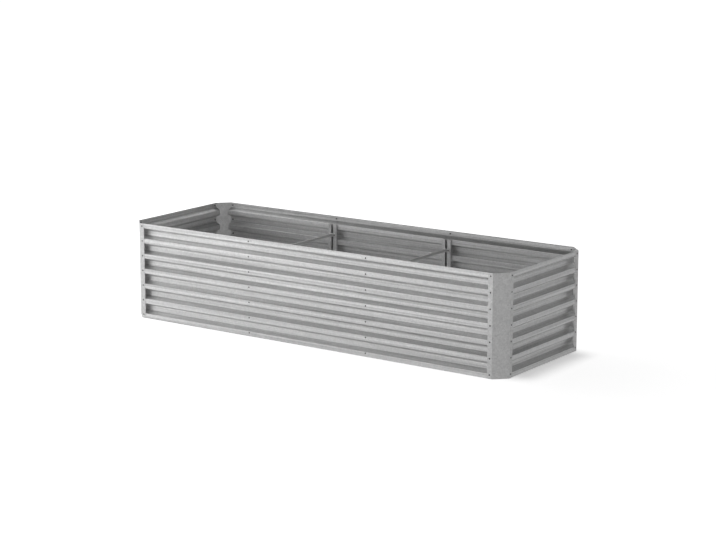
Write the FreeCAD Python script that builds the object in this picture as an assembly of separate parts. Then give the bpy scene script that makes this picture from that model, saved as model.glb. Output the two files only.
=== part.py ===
"""Raised garden bed of corrugated galvanised steel, 9 ft long, 3 ft wide and 2 ft high.

Each long wall is three corrugated panels that lap at two bolted joints, and each end wall is one
panel.  Four chamfered corner posts hold the walls together.  A folded channel stands inside every
joint, and two tube braces run between the channels, across the bed.

Millimetres, +Z up.  X runs along the bed and Y across it, with the front wall at -Y.  The origin is
on the ground, in the middle of the bed.
"""
import FreeCAD, Part
import math
import os

from FreeCAD import Vector

# ---------------------------------------------------------------- driving dimensions

bed_length = 2743.2           # 9 ft, outside the corner posts
bed_width = 914.4             # 3 ft
bed_height = 609.6            # 2 ft

# corrugated panels
panel_sheet = 0.6             # sheet thickness
recess_count = 6              # inward corrugations, with a flat ridge above and below each
ridge_flat = 30.0             # height of each flat outer ridge
slope_height = 18.0           # rise of each slope between a ridge and a recess
recess_depth = 34.0           # how far a recess lies behind the ridges
panel_bend = 4.0              # outer radius of the corrugation's bends
panel_end_gap = 3.0           # from a panel's end to the bend of the corner post
lap_outer = 22.0              # an end panel's edge, past the joint bolts
lap_inner = 36.0              # the centre panel's edge, past the joint bolts
lap_clearance = 0.1           # between two lapped panels
joint_spacing = 866.0         # between the two joints of a long wall

# chamfered corner posts
corner_sheet = 1.0
corner_bend = 3.0             # outer bend radius
chamfer_setback = 72.0        # from the corner's sharp point to each end of the 45 degree face
flange_width = 31.0           # bolting flange beside the 45 degree face

# folded channels inside the panel joints
post_sheet = 1.5
post_bend = 3.0
post_width = 64.0
post_depth = 14.0
post_slot = 14.0              # open slot between the channel's two lips

# cross braces
brace_drop = 115.0            # from the rim to the brace's centre line
brace_diameter = 18.0
brace_wall = 1.2
brace_plate_width = 50.0
brace_plate_height = 22.0
brace_plate_sheet = 3.0
brace_plate_corner = 4.0      # corner radius of an end plate
brace_weld = 2.5              # weld bead around the tube, on the end plate
brace_bolt_spacing = 34.0     # between the two bolts of an end plate

# button-head bolts with hexagon sockets, and hexagon nuts
bolt_diameter = 5.0
head_diameter = 9.5
head_height = 2.7
socket_width = 3.0            # across the flats
socket_depth = 1.5
nut_width = 8.0               # across the flats
nut_height = 4.0
thread_past_nut = 2.0         # bolt's end, past its nut
hole_clearance = 0.25         # around a bolt in a sheet
thread_clearance = 0.05       # around a bolt in its nut
top_row_drop = 2.7            # top row of bolts, below the middle of the top ridge
bottom_row_margin = 0.6       # bottom row's nuts, below the bend at the top of the bottom ridge

# ---------------------------------------------------------------- places that follow from them

recess_pitch = (bed_height - ridge_flat) / recess_count
recess_flat = recess_pitch - ridge_flat - 2 * slope_height

slope_turn = math.atan2(recess_depth, slope_height)   # of the sheet, from a ridge into a slope
ridge_bend_height = panel_bend * math.tan(slope_turn / 2)

top_row = bed_height - ridge_flat / 2 - top_row_drop
bottom_row = ridge_flat - ridge_bend_height - bottom_row_margin - nut_width / 2
row_spacing = (top_row - bottom_row) / recess_count
bolt_rows = [top_row - row * row_spacing for row in range(recess_count + 1)]
long_bolt_rows = range(1, recess_count, 2)            # from the top: their joint bolts hold the channel too

flange_column = chamfer_setback + flange_width / 2    # flange bolts, from the corner's sharp point
joint_column = joint_spacing / 2                      # joint bolts, from the middle of a long wall

# depths inward from a wall's outer plane, which is the outer face of the corner flanges
ridge_face = corner_sheet
lap_step = panel_sheet + lap_clearance                # from an end panel to the centre panel in it
corner_grip = corner_sheet + panel_sheet
lap_back = ridge_face + lap_step + panel_sheet
post_seat = lap_back + recess_depth
post_face = post_seat + post_depth

post_top = bed_height - ridge_flat - slope_height     # upper edge of the top recess's flat
post_bottom = ridge_flat + slope_height               # lower edge of the bottom recess's flat
brace_height = bed_height - brace_drop

# Each wall is modelled with its outer plane on Y = 0, inward along +Y, and then put in place:
# (name, turn about Z in degrees, distance from the bed's middle, length)
walls = [
    ("front", 0, bed_width / 2, bed_length),
    ("right", 90, bed_length / 2, bed_width),
    ("back", 180, bed_width / 2, bed_length),
    ("left", 270, bed_length / 2, bed_width),
]
corners = ["front_right", "back_right", "back_left", "front_left"]    # at each wall's far end

nodes = {}


# ---------------------------------------------------------------- bent sheet

def parallel(path, depth):
    """Points of an open path moved sideways, to the left of its direction, by a depth."""
    directions = [(b - a).normalize() for a, b in zip(path, path[1:])]
    normals = [Vector(-d.y, d.x, 0) for d in directions]
    moved = [path[0] + normals[0] * depth]
    for point, before, after in zip(path[1:-1], normals, normals[1:]):
        moved.append(point + (before + after) * (depth / (1 + before.dot(after))))
    moved.append(path[-1] + normals[-1] * depth)
    return moved


def rounded(path, bend, depth):
    """Edges of a path moved by a depth, with its bends rounded about the same centres."""
    points = parallel(path, depth)
    edges = []
    start = points[0]
    for before, corner, after in zip(points, points[1:], points[2:]):
        arriving = (corner - before).normalize()
        leaving = (after - corner).normalize()
        turn = arriving.x * leaving.y - arriving.y * leaving.x
        side = math.copysign(1, turn)
        radius = bend - side * depth
        setback = radius * math.tan(0.5 * math.acos(arriving.dot(leaving)))
        bend_start = corner - arriving * setback
        bend_end = corner + leaving * setback
        centre = bend_start + Vector(-arriving.y, arriving.x, 0) * (side * radius)
        middle = centre + (corner - centre).normalize() * radius
        edges.append(Part.LineSegment(start, bend_start).toShape())
        edges.append(Part.Arc(bend_start, middle, bend_end).toShape())
        start = bend_end
    edges.append(Part.LineSegment(start, points[-1]).toShape())
    return edges


def sheet_face(path, bend, outer_depth, inner_depth):
    """Section of a bent sheet that lies between two depths beside one path."""
    outer = rounded(path, bend, outer_depth)
    inner = rounded(path, bend, inner_depth)
    outer_points = parallel(path, outer_depth)
    inner_points = parallel(path, inner_depth)
    closing = [Part.LineSegment(outer_points[end], inner_points[end]).toShape() for end in (0, -1)]
    outline = Part.Wire(Part.__sortEdges__(outer + inner + closing))
    return Part.Face(outline)


def drill(solid, x, z, depth_from, depth_to):
    """Cut a bolt hole through a wall piece, along Y."""
    radius = bolt_diameter / 2 + hole_clearance
    hole = Part.makeCylinder(radius, depth_to - depth_from, Vector(x, depth_from, z), Vector(0, 1, 0))
    return solid.cut(hole)


def place_on_wall(shape, wall):
    """Move a shape from the wall's own frame to its place on the bed."""
    name, turn, distance, length = wall
    placed = shape.copy()
    placed.translate(Vector(0, -distance, 0))
    placed.rotate(Vector(0, 0, 0), Vector(0, 0, 1), turn)
    return placed


# ---------------------------------------------------------------- corrugated panels

def corrugation_path():
    """Outer face of a panel from the rim down, as (depth, height) points."""
    path = [Vector(ridge_face, bed_height, 0)]
    for index in range(recess_count):
        ridge_end = bed_height - index * recess_pitch - ridge_flat
        recess_start = ridge_end - slope_height
        recess_end = recess_start - recess_flat
        path.append(Vector(ridge_face, ridge_end, 0))
        path.append(Vector(ridge_face + recess_depth, recess_start, 0))
        path.append(Vector(ridge_face + recess_depth, recess_end, 0))
        path.append(Vector(ridge_face, recess_end - slope_height, 0))
    path.append(Vector(ridge_face, 0, 0))
    return path


def corrugated_panel(x_from, x_to, depth, columns):
    """A panel between two places along its wall, drilled at each column of bolts."""
    section = sheet_face(corrugation_path(), panel_bend, depth, depth + panel_sheet)
    panel = section.extrude(Vector(0, 0, x_to - x_from))
    # section (depth, height) and extrusion become (Y, Z) and X
    panel.rotate(Vector(0, 0, 0), Vector(1, 1, 1), 120)
    panel.translate(Vector(x_from, 0, 0))
    for x in columns:
        for z in bolt_rows:
            panel = drill(panel, x, z, 0, lap_back + panel_sheet)
    return panel


def long_wall_panels(wall):
    """The end, centre and end panels of a long wall, from its near end to its far end."""
    wall_end = wall[3] / 2 - chamfer_setback - panel_end_gap
    flange_bolts = wall[3] / 2 - flange_column
    outer_edge = joint_column - lap_outer
    inner_edge = joint_column + lap_inner
    spans = [
        (-wall_end, -outer_edge, 0, (-flange_bolts, -joint_column)),
        (-inner_edge, inner_edge, lap_step, (-joint_column, joint_column)),
        (outer_edge, wall_end, 0, (joint_column, flange_bolts)),
    ]
    return [place_on_wall(corrugated_panel(*span), wall) for span in spans]


def end_wall_panel(wall):
    """The one panel of an end wall."""
    wall_end = wall[3] / 2 - chamfer_setback - panel_end_gap
    flange_bolts = wall[3] / 2 - flange_column
    return place_on_wall(corrugated_panel(-wall_end, wall_end, 0, (-flange_bolts, flange_bolts)), wall)


# ---------------------------------------------------------------- posts

def corner_post(turn, corner_point):
    """Bent sheet with a 45 degree face and two flanges, built with its sharp point at the origin."""
    path = [
        Vector(-chamfer_setback - flange_width, 0, 0),
        Vector(-chamfer_setback, 0, 0),
        Vector(0, chamfer_setback, 0),
        Vector(0, chamfer_setback + flange_width, 0),
    ]
    post = sheet_face(path, corner_bend, 0, corner_sheet).extrude(Vector(0, 0, bed_height))
    radius = bolt_diameter / 2 + hole_clearance
    for z in bolt_rows:
        first = Part.makeCylinder(radius, 3 * corner_sheet,
                                  Vector(-flange_column, -corner_sheet, z), Vector(0, 1, 0))
        second = Part.makeCylinder(radius, 3 * corner_sheet,
                                   Vector(corner_sheet, flange_column, z), Vector(-1, 0, 0))
        post = post.cut(first).cut(second)
    post.rotate(Vector(0, 0, 0), Vector(0, 0, 1), turn)
    post.translate(corner_point)
    return post


def joint_post(x):
    """Channel on the inner faces of the recesses, its slot towards the middle of the bed."""
    half = post_width / 2
    lip = post_slot / 2
    path = [
        Vector(-lip, post_face, 0),
        Vector(-half, post_face, 0),
        Vector(-half, post_seat, 0),
        Vector(half, post_seat, 0),
        Vector(half, post_face, 0),
        Vector(lip, post_face, 0),
    ]
    post = sheet_face(path, post_bend, 0, post_sheet).extrude(Vector(0, 0, post_top - post_bottom))
    post.translate(Vector(x, 0, post_bottom))
    for row in long_bolt_rows:
        post = drill(post, x, bolt_rows[row], post_seat - post_sheet, post_seat + 2 * post_sheet)
    for side in (-0.5, 0.5):
        bolt_x = x + side * brace_bolt_spacing
        post = drill(post, bolt_x, brace_height, post_face - 2 * post_sheet, post_face + post_sheet)
    return post


# ---------------------------------------------------------------- braces

def brace_plate():
    """End plate of a brace, standing on its wall's channel with its inner face on post_face."""
    plate = Part.makeBox(brace_plate_width, brace_plate_sheet, brace_plate_height,
                         Vector(-brace_plate_width / 2, post_face, brace_height - brace_plate_height / 2))
    corner_edges = [edge for edge in plate.Edges if abs(edge.tangentAt(edge.FirstParameter).y) > 0.9]
    plate = plate.makeFillet(brace_plate_corner, corner_edges)
    for side in (-0.5, 0.5):
        plate = drill(plate, side * brace_bolt_spacing, brace_height,
                      post_face - brace_plate_sheet, post_face + 2 * brace_plate_sheet)
    weld = Part.makeCone(brace_diameter / 2 + brace_weld, brace_diameter / 2, brace_weld,
                         Vector(0, post_face + brace_plate_sheet, brace_height), Vector(0, 1, 0))
    return plate.fuse(weld)


def cross_brace(x):
    """Tube from one wall's channel to the other's, open at both ends through its end plates."""
    front, right, back, left = walls
    reach = bed_width / 2 - post_face
    start = Vector(x, -reach, brace_height)
    tube = Part.makeCylinder(brace_diameter / 2, 2 * reach, start, Vector(0, 1, 0))
    bore = Part.makeCylinder(brace_diameter / 2 - brace_wall, 2 * reach, start, Vector(0, 1, 0))
    front_plate = place_on_wall(brace_plate(), front)
    back_plate = place_on_wall(brace_plate(), back)
    front_plate.translate(Vector(x, 0, 0))
    back_plate.translate(Vector(x, 0, 0))
    return tube.fuse([front_plate, back_plate]).removeSplitter().cut(bore)


# ---------------------------------------------------------------- fasteners

def hexagon(width, height, base):
    """Six-sided prism along Y, with flats above and below, from a point in its end face."""
    corner_radius = width / math.sqrt(3)
    points = []
    for index in range(7):
        angle = math.radians(60 * index)
        points.append(base + Vector(corner_radius * math.cos(angle), 0, corner_radius * math.sin(angle)))
    return Part.Face(Part.makePolygon(points)).extrude(Vector(0, height, 0))


def bolt(grip):
    """Button-head bolt along +Y, its head's seat at the origin, for the stack it holds and a nut."""
    length = grip + nut_height + thread_past_nut
    shank = Part.makeCylinder(bolt_diameter / 2, length, Vector(0, 0, 0), Vector(0, 1, 0))
    half = head_diameter / 2
    dome_radius = (half ** 2 + head_height ** 2) / (2 * head_height)
    dome = Part.makeSphere(dome_radius, Vector(0, dome_radius - head_height, 0))
    blank = Part.makeCylinder(half, head_height, Vector(0, -head_height, 0), Vector(0, 1, 0))
    socket = hexagon(socket_width, socket_depth, Vector(0, -head_height, 0))
    return dome.common(blank).cut(socket).fuse(shank).removeSplitter()


def nut():
    """Hexagon nut along +Y, its seat at the origin, with its outer corners turned off."""
    corner_radius = nut_width / math.sqrt(3)
    chamfer = corner_radius - nut_width / 2
    turned = Part.makeCylinder(corner_radius, nut_height, Vector(0, 0, 0), Vector(0, 1, 0))
    far_edge = [edge for edge in turned.Edges if edge.Closed and edge.CenterOfMass.y > nut_height / 2]
    turned = turned.makeChamfer(chamfer, far_edge)
    bore = Part.makeCylinder(bolt_diameter / 2 + thread_clearance, nut_height,
                             Vector(0, 0, 0), Vector(0, 1, 0))
    return hexagon(nut_width, nut_height, Vector(0, 0, 0)).common(turned).cut(bore)


def moved(shape, x, y, z):
    """A copy of a fastener at its place on a wall."""
    copy = shape.copy()
    copy.translate(Vector(x, y, z))
    return copy


def corner_fasteners(wall, x):
    """Bolts and nuts of one corner flange."""
    flange_bolt = bolt(corner_grip)
    plain_nut = nut()
    bolts = [place_on_wall(moved(flange_bolt, x, 0, z), wall) for z in bolt_rows]
    nuts = [place_on_wall(moved(plain_nut, x, corner_grip, z), wall) for z in bolt_rows]
    return bolts, nuts


def joint_fasteners(wall, x):
    """Bolts and nuts of one panel joint, with the long bolts that hold its channel."""
    short_bolt = bolt(lap_back - ridge_face)
    long_bolt = bolt(post_seat + post_sheet - ridge_face)
    plain_nut = nut()
    bolts = []
    nuts = []
    for row, z in enumerate(bolt_rows):
        is_long = row in long_bolt_rows
        blank = long_bolt if is_long else short_bolt
        bolts.append(place_on_wall(moved(blank, x, ridge_face, z), wall))
        nuts.append(place_on_wall(moved(plain_nut, x, lap_back, z), wall))
        if is_long:
            nuts.append(place_on_wall(moved(plain_nut, x, post_seat + post_sheet, z), wall))
    return bolts, nuts


def brace_fasteners(x):
    """Bolts and nuts of one brace, two at each end, with the heads on the end plates."""
    grip = brace_plate_sheet + post_sheet
    plate_bolt = bolt(grip)
    plain_nut = nut()
    for fastener in (plate_bolt, plain_nut):
        fastener.rotate(Vector(0, 0, 0), Vector(0, 0, 1), 180)
    bolts = []
    nuts = []
    for wall, along in ((walls[0], x), (walls[2], -x)):
        for side in (-0.5, 0.5):
            bolt_x = along + side * brace_bolt_spacing
            head = moved(plate_bolt, bolt_x, post_face + brace_plate_sheet, brace_height)
            seat = moved(plain_nut, bolt_x, post_face - post_sheet, brace_height)
            bolts.append(place_on_wall(head, wall))
            nuts.append(place_on_wall(seat, wall))
    return bolts, nuts


# ---------------------------------------------------------------- assembly

def add_walls():
    """Panels, joint posts and joint fasteners of every wall."""
    front, right, back, left = walls
    for wall, sides in ((front, ("left", "right")), (back, ("right", "left"))):
        name = wall[0]
        near, centre, far = long_wall_panels(wall)
        nodes[f"{name}_{sides[0]}_panel"] = near
        nodes[f"{name}_centre_panel"] = centre
        nodes[f"{name}_{sides[1]}_panel"] = far
        for side, x in zip(sides, (-joint_column, joint_column)):
            bolts, nuts = joint_fasteners(wall, x)
            nodes[f"{name}_{side}_joint_post"] = place_on_wall(joint_post(x), wall)
            nodes[f"{name}_{side}_joint_bolts"] = Part.makeCompound(bolts)
            nodes[f"{name}_{side}_joint_nuts"] = Part.makeCompound(nuts)
    nodes["left_end_panel"] = end_wall_panel(left)
    nodes["right_end_panel"] = end_wall_panel(right)


def add_corners():
    """Corner posts and their fasteners, each between a wall's far end and the next wall."""
    for index, corner in enumerate(corners):
        wall = walls[index]
        next_wall = walls[(index + 1) % len(walls)]
        side_x = 1 if "right" in corner else -1
        side_y = 1 if "back" in corner else -1
        point = Vector(side_x * bed_length / 2, side_y * bed_width / 2, 0)
        bolts, nuts = corner_fasteners(wall, wall[3] / 2 - flange_column)
        more_bolts, more_nuts = corner_fasteners(next_wall, flange_column - next_wall[3] / 2)
        nodes[f"{corner}_corner_post"] = corner_post(wall[1], point)
        nodes[f"{corner}_corner_bolts"] = Part.makeCompound(bolts + more_bolts)
        nodes[f"{corner}_corner_nuts"] = Part.makeCompound(nuts + more_nuts)


def add_braces():
    """Cross braces and their fasteners."""
    for side, x in (("left", -joint_column), ("right", joint_column)):
        bolts, nuts = brace_fasteners(x)
        nodes[f"{side}_cross_brace"] = cross_brace(x)
        nodes[f"{side}_brace_bolts"] = Part.makeCompound(bolts)
        nodes[f"{side}_brace_nuts"] = Part.makeCompound(nuts)


def export():
    """Write one STEP file for each node."""
    os.makedirs("parts", exist_ok=True)
    for name, shape in nodes.items():
        shape.exportStep(f"parts/{name}.step")
        print(f"{name}: {len(shape.Solids)} solid(s), {shape.Volume / 1000:.1f} cm3, valid {shape.isValid()}")


add_walls()
add_corners()
add_braces()
export()
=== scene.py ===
"""Raised garden bed of corrugated galvanised steel: its visible pieces, finishes and studio.

Every piece stands where the construction model has it, in metres, with X along the bed, the front
wall at -Y and the ground at Z = 0.  A finished piece replaces the construction node whose name it
carries.  Sheets, folded posts and fasteners come from Geometry Nodes trees that are built here.
"""

import math

import bmesh
import bpy
from bpy.props import FloatProperty, FloatVectorProperty, IntProperty, PointerProperty
from mathutils import Matrix, Vector


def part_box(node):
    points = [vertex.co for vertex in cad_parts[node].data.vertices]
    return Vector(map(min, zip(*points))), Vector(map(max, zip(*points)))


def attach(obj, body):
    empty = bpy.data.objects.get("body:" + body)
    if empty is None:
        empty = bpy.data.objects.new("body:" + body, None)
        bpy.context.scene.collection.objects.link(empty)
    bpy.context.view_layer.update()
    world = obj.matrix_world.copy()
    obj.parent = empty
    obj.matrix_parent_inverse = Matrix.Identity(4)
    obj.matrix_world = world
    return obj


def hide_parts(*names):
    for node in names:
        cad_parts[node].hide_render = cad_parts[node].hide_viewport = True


bl_info = {
    "name": "Corrugated Garden Bed",
    "version": (1, 0, 0),
    "blender": (4, 5, 0),
    "location": "3D View > Sidebar > Garden Bed",
    "description": "Finishes a galvanised steel garden bed around its construction model",
    "category": "Object",
}

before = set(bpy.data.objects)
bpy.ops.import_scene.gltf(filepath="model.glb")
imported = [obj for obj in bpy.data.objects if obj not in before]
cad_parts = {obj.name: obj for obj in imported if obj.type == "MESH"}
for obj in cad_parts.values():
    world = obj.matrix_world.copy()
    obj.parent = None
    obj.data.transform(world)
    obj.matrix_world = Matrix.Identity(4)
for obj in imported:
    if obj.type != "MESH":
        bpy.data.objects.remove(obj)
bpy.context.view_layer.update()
millimetre = 0.001


# ---------------------------------------------------------------- places, from the construction model

half_length = -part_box("front_left_corner_post")[0].x
half_width = -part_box("front_left_corner_post")[0].y

# turn about Z in degrees, and distance of the outer plane from the bed's middle
walls = {
    "front": (0, half_width),
    "right": (90, half_length),
    "back": (180, half_width),
    "left": (270, half_length),
}

# turn about Z in degrees, and the corner's sharp point
corners = {
    "front_right": (0, (half_length, -half_width, 0)),
    "back_right": (90, (half_length, half_width, 0)),
    "back_left": (180, (-half_length, half_width, 0)),
    "front_left": (270, (-half_length, -half_width, 0)),
}


def wall_place(name):
    """Matrix out of a wall's own frame: its outer plane on Y = 0, and inward along +Y."""
    turn, distance = walls[name]
    return Matrix.Rotation(math.radians(turn), 4, "Z") @ Matrix.Translation((0, -distance, 0))


def corner_place(name):
    """Matrix out of a corner's own frame: its sharp point at the origin, one wall along -X."""
    turn, point = corners[name]
    return Matrix.Translation(point) @ Matrix.Rotation(math.radians(turn), 4, "Z")


def nodes_ending(ending):
    """Names of the construction nodes that end in a word, in order."""
    return sorted(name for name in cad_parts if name.endswith(ending))


def box_in(place, node):
    """Lowest and highest corner of a construction node, in the frame that a matrix leads out of."""
    back = place.inverted()
    first, second = [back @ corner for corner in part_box(node)]
    low = Vector([min(pair) for pair in zip(first, second)])
    high = Vector([max(pair) for pair in zip(first, second)])
    return low, high


# ---------------------------------------------------------------- sizes and colours a user may change

def length_setting(name, description, millimetres, precision=4, **limits):
    """A length, given in millimetres."""
    return FloatProperty(name=name, description=description, default=millimetres * millimetre,
                         precision=precision, unit="LENGTH", **limits)


def count_setting(name, description, default, least=1):
    """A whole number."""
    return IntProperty(name=name, description=description, default=default, min=least)


def share_setting(name, description, default, **display):
    """A number from 0 to 1."""
    return FloatProperty(name=name, description=description, default=default, min=0, max=1, **display)


def grey_setting(name, description, level):
    """A colour that starts as a grey."""
    return FloatVectorProperty(name=name, description=description, default=(level, level, level),
                               min=0, max=1, subtype="COLOR")


def power_setting(name, description, watts):
    """A lamp's power."""
    return FloatProperty(name=name, description=description, default=watts, unit="POWER")


class GardenBedSheets(bpy.types.PropertyGroup):
    """Corrugated sheet."""
    thickness: length_setting("Thickness", "Thickness of the corrugated sheet", 0.6, min=0.0001)
    recess_count: count_setting("Corrugations", "Inward corrugations from the ground to the rim", 6)
    ridge_flat: length_setting("Ridge Flat", "Height of each flat outer ridge", 30)
    slope_height: length_setting("Slope Height", "Rise of each slope between a ridge and a recess", 18)
    bend: length_setting("Bend Radius", "Outer radius of the corrugation's bends", 4)
    bend_steps: count_setting("Bend Steps", "Points on each bend", 5)
    step_length: length_setting("Step Length", "Length of one mesh step along a panel", 30)
    wave_height: length_setting("Wave Height", "How far the thin sheet wanders from a true plane", 0.4)
    wave_length: length_setting("Wave Length", "Spacing of the sheet's slow waves", 220)
    wave_seed: IntProperty(
        name="Wave Seed", description="Chooses the pattern of the sheet's waves", default=7)


class GardenBedPosts(bpy.types.PropertyGroup):
    """Folded posts."""
    corner_thickness: length_setting("Corner Thickness", "Sheet thickness of the corner posts", 1)
    corner_setback: length_setting(
        "Corner Setback", "From a corner's sharp point to each end of its 45 degree face", 72)
    channel_thickness: length_setting(
        "Channel Thickness", "Sheet thickness of the channels inside the joints", 1.5)
    channel_slot: length_setting("Channel Slot", "Open slot between a channel's lips", 14)
    bend: length_setting("Bend Radius", "Outer radius of the posts' bends", 3)
    bend_steps: count_setting("Bend Steps", "Points on each bend", 8)
    run_steps: count_setting("Run Steps", "Mesh steps from the top of a post to its foot", 12)


class GardenBedBraces(bpy.types.PropertyGroup):
    """Cross braces."""
    diameter: length_setting("Tube Diameter", "Outer diameter of a brace tube", 18)
    wall: length_setting("Tube Wall", "Wall thickness of a brace tube", 1.2)
    plate_thickness: length_setting("Plate Thickness", "Thickness of a brace's end plates", 3)
    plate_corner: length_setting("Plate Corner", "Corner radius of an end plate", 4)
    plate_edge: length_setting("Plate Edge", "Rounding of an end plate's edges", 0.4)
    weld: length_setting("Weld Size", "Leg of the weld bead between tube and plate", 2.5)
    weld_ripples: count_setting("Weld Ripples", "Ripples around one weld bead", 22, least=3)


class GardenBedFasteners(bpy.types.PropertyGroup):
    """Bolts and nuts."""
    head_diameter: length_setting("Head Diameter", "Diameter of a button head", 9.5)
    head_height: length_setting("Head Height", "Height of a button head", 2.7)
    socket_width: length_setting("Socket Width", "Hexagon socket, across its flats", 3)
    socket_depth: length_setting("Socket Depth", "Depth of the hexagon socket", 1.5)
    bolt_diameter: length_setting("Bolt Diameter", "Diameter of the thread", 5)
    thread_pitch: length_setting(
        "Thread Pitch", "Spacing of the ridges on a bolt's end", 0.8, precision=5)
    nut_width: length_setting("Nut Width", "Nut, across its flats", 8)
    spin_seed: IntProperty(
        name="Spin Seed", description="Chooses how far each bolt and nut is turned", default=3)


class GardenBedFinish(bpy.types.PropertyGroup):
    """Zinc finishes."""
    sheet_colour: grey_setting("Sheet Colour", "Galvanised sheet of the panels", 0.72)
    corner_colour: grey_setting("Corner Colour", "Galvanised sheet of the corner posts", 0.68)
    channel_colour: grey_setting("Channel Colour", "Galvanised strip of the joint channels", 0.66)
    brace_colour: grey_setting("Brace Colour", "Zinc-plated tube of the cross braces", 0.78)
    bolt_colour: grey_setting("Bolt Colour", "Bolts", 0.08)
    nut_colour: grey_setting("Nut Colour", "Nuts", 0.16)
    crystal_size: length_setting("Crystal Size", "Width of the zinc crystals on the sheets", 9)
    metallic: share_setting(
        "Metallic", "Share of bare metal in the dull zinc skin", 0.85, subtype="FACTOR")


class GardenBedStage(bpy.types.PropertyGroup):
    """Floor, lamps and camera."""
    floor_colour: grey_setting("Floor Colour", "Pale studio floor", 0.8)
    floor_lift: share_setting(
        "Floor Lift", "Brightness added to the floor around the bed, where it is seen", 0.86)
    # the floor's brightness inside the shadow painted along the feet of the ends
    painted_shadow_lift: share_setting(
        "Painted Shadow Lift", "Brightness added to the floor along the feet of the ends", 0.44)
    mirror_lift: share_setting(
        "Mirror Lift", "Brightness added to the floor where metal mirrors it", 0.35)
    floor_size: FloatProperty(
        name="Floor Size", description="Side of the square floor", default=120, unit="LENGTH")
    key_strength: power_setting("Key Strength", "Power of the low lamp in front", 34)
    side_strength: power_setting("Side Strength", "Power of the weak lamp at the front right", 8)
    left_strength: power_setting("Left Strength", "Power of the low lamp past the left end", 90)
    high_strength: power_setting("High Strength", "Power of the high lamp at the front left", 18)
    back_strength: power_setting("Back Strength", "Power of the high lamp at the back left", 45)
    zenith: FloatProperty(
        name="Zenith", description="Brightness of the studio straight above", default=0.02, min=0)
    horizon: FloatProperty(
        name="Horizon", description="Brightness of the studio at eye level", default=0.8, min=0)
    camera_place: FloatVectorProperty(
        name="Camera Place", description="Where the camera stands",
        default=(6.9495, -9.7356, 2.9446), subtype="TRANSLATION", unit="LENGTH")
    camera_turn: FloatProperty(
        name="Camera Turn", description="Turn of the view to the left of straight ahead",
        default=math.radians(35.297), subtype="ANGLE")
    camera_tilt: FloatProperty(
        name="Camera Tilt", description="Tilt of the view below the horizon",
        default=math.radians(12.062), subtype="ANGLE")
    lens: FloatProperty(
        name="Lens", description="Focal length in millimetres, on a 36 mm wide sensor",
        default=100.39, min=1)


# ---------------------------------------------------------------- node trees

class Wiring:
    """Adds nodes to one tree, from left to right, and joins their sockets."""

    column_width = 190

    def __init__(self, tree):
        self.tree = tree

    def add(self, kind, feeds=None, **settings):
        """A new node, its settings, and its inputs given as values, sockets or nodes."""
        node = self.tree.nodes.new(kind)
        node.location.x = self.column_width * len(self.tree.nodes)
        for setting, value in settings.items():
            setattr(node, setting, value)
        for socket, value in (feeds or {}).items():
            self.feed(node.inputs[socket], value)
        return node

    def feed(self, socket, value):
        """Join a socket to another node's, or set its value."""
        if isinstance(value, bpy.types.Node):
            value = next(output for output in value.outputs if output.enabled)
        if isinstance(value, bpy.types.NodeSocket):
            self.tree.links.new(value, socket)
        else:
            socket.default_value = value

    def math(self, operation, first, second=0.0, third=0.0):
        """Output of a math node."""
        feeds = {0: first, 1: second, 2: third}
        return self.add("ShaderNodeMath", feeds, operation=operation).outputs[0]

    def ranged(self, value, start, end, low=0.0, high=1.0, easing="SMOOTHSTEP"):
        """A number led from low, where a value is at its start, to high at its end."""
        return self.add("ShaderNodeMapRange", {
            "Value": value, "From Min": start, "From Max": end, "To Min": low, "To Max": high},
            interpolation_type=easing)

    def noise(self, vector, size, detail, roughness=0.5):
        """Soft noise with patches of about one size."""
        return self.add("ShaderNodeTexNoise", {
            "Vector": vector, "Scale": self.math("DIVIDE", 1.0, size), "Detail": detail,
            "Roughness": roughness})

    def scaled(self, vector, scale):
        """A vector times a number."""
        return self.add("ShaderNodeVectorMath", {0: vector, "Scale": scale}, operation="SCALE")

    def shifted(self, vector, shift):
        """A vector plus another."""
        return self.add("ShaderNodeVectorMath", {0: vector, 1: shift}, operation="ADD")

    def vector(self, x=0.0, y=0.0, z=0.0):
        """A vector put together from three numbers."""
        return self.add("ShaderNodeCombineXYZ", {"X": x, "Y": y, "Z": z}).outputs[0]

    def parts(self, vector):
        """The three numbers of a vector."""
        return self.add("ShaderNodeSeparateXYZ", {"Vector": vector}).outputs

    def chosen(self, index, values):
        """One of several numbers, by its index."""
        node = self.add("GeometryNodeIndexSwitch", data_type="FLOAT")
        while len(node.index_switch_items) < len(values):
            node.index_switch_items.new()
        self.feed(node.inputs["Index"], index)
        for place, value in enumerate(values):
            self.feed(node.inputs[place + 1], value)
        return node.outputs[0]

    def bent(self, given, section, run):
        """A bent sheet, with the bends and steps that this tree is given."""
        passed_on = {name: given[name] for name in ("Bend Radius", "Bend Steps", "Run Steps")}
        return self.add("GeometryNodeGroup", {"Section": section, "Run": run, **passed_on},
                        node_tree=bent_sheet())

    def real(self, geometry, material):
        """Geometry without instances, in its material."""
        whole = self.add("GeometryNodeRealizeInstances", {"Geometry": geometry})
        return self.add("GeometryNodeSetMaterial", {"Geometry": whole, "Material": material})


socket_kinds = {float: "Float", int: "Int", tuple: "Vector"}


def new_group(name, tree_kind, inputs, outputs):
    """A node group's wiring, the sockets that it is given, and those that it fills.

    An input's name comes with its default value, or with its kind where it has none.
    """
    tree = bpy.data.node_groups.new(name, tree_kind)
    for socket, default in inputs.items():
        kind = socket_kinds.get(type(default), default)
        made = tree.interface.new_socket(socket, in_out="INPUT", socket_type=f"NodeSocket{kind}")
        if kind != default:
            made.default_value = default
    for socket, kind in outputs.items():
        tree.interface.new_socket(socket, in_out="OUTPUT", socket_type=f"NodeSocket{kind}")
    wiring = Wiring(tree)
    given = wiring.add("NodeGroupInput").outputs
    filled = wiring.add("NodeGroupOutput").inputs
    return wiring, given, filled


def once(make):
    """Build a node group at its first use only."""
    built = []

    def group():
        if not built:
            built.append(make())
        return built[0]

    return group


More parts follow.
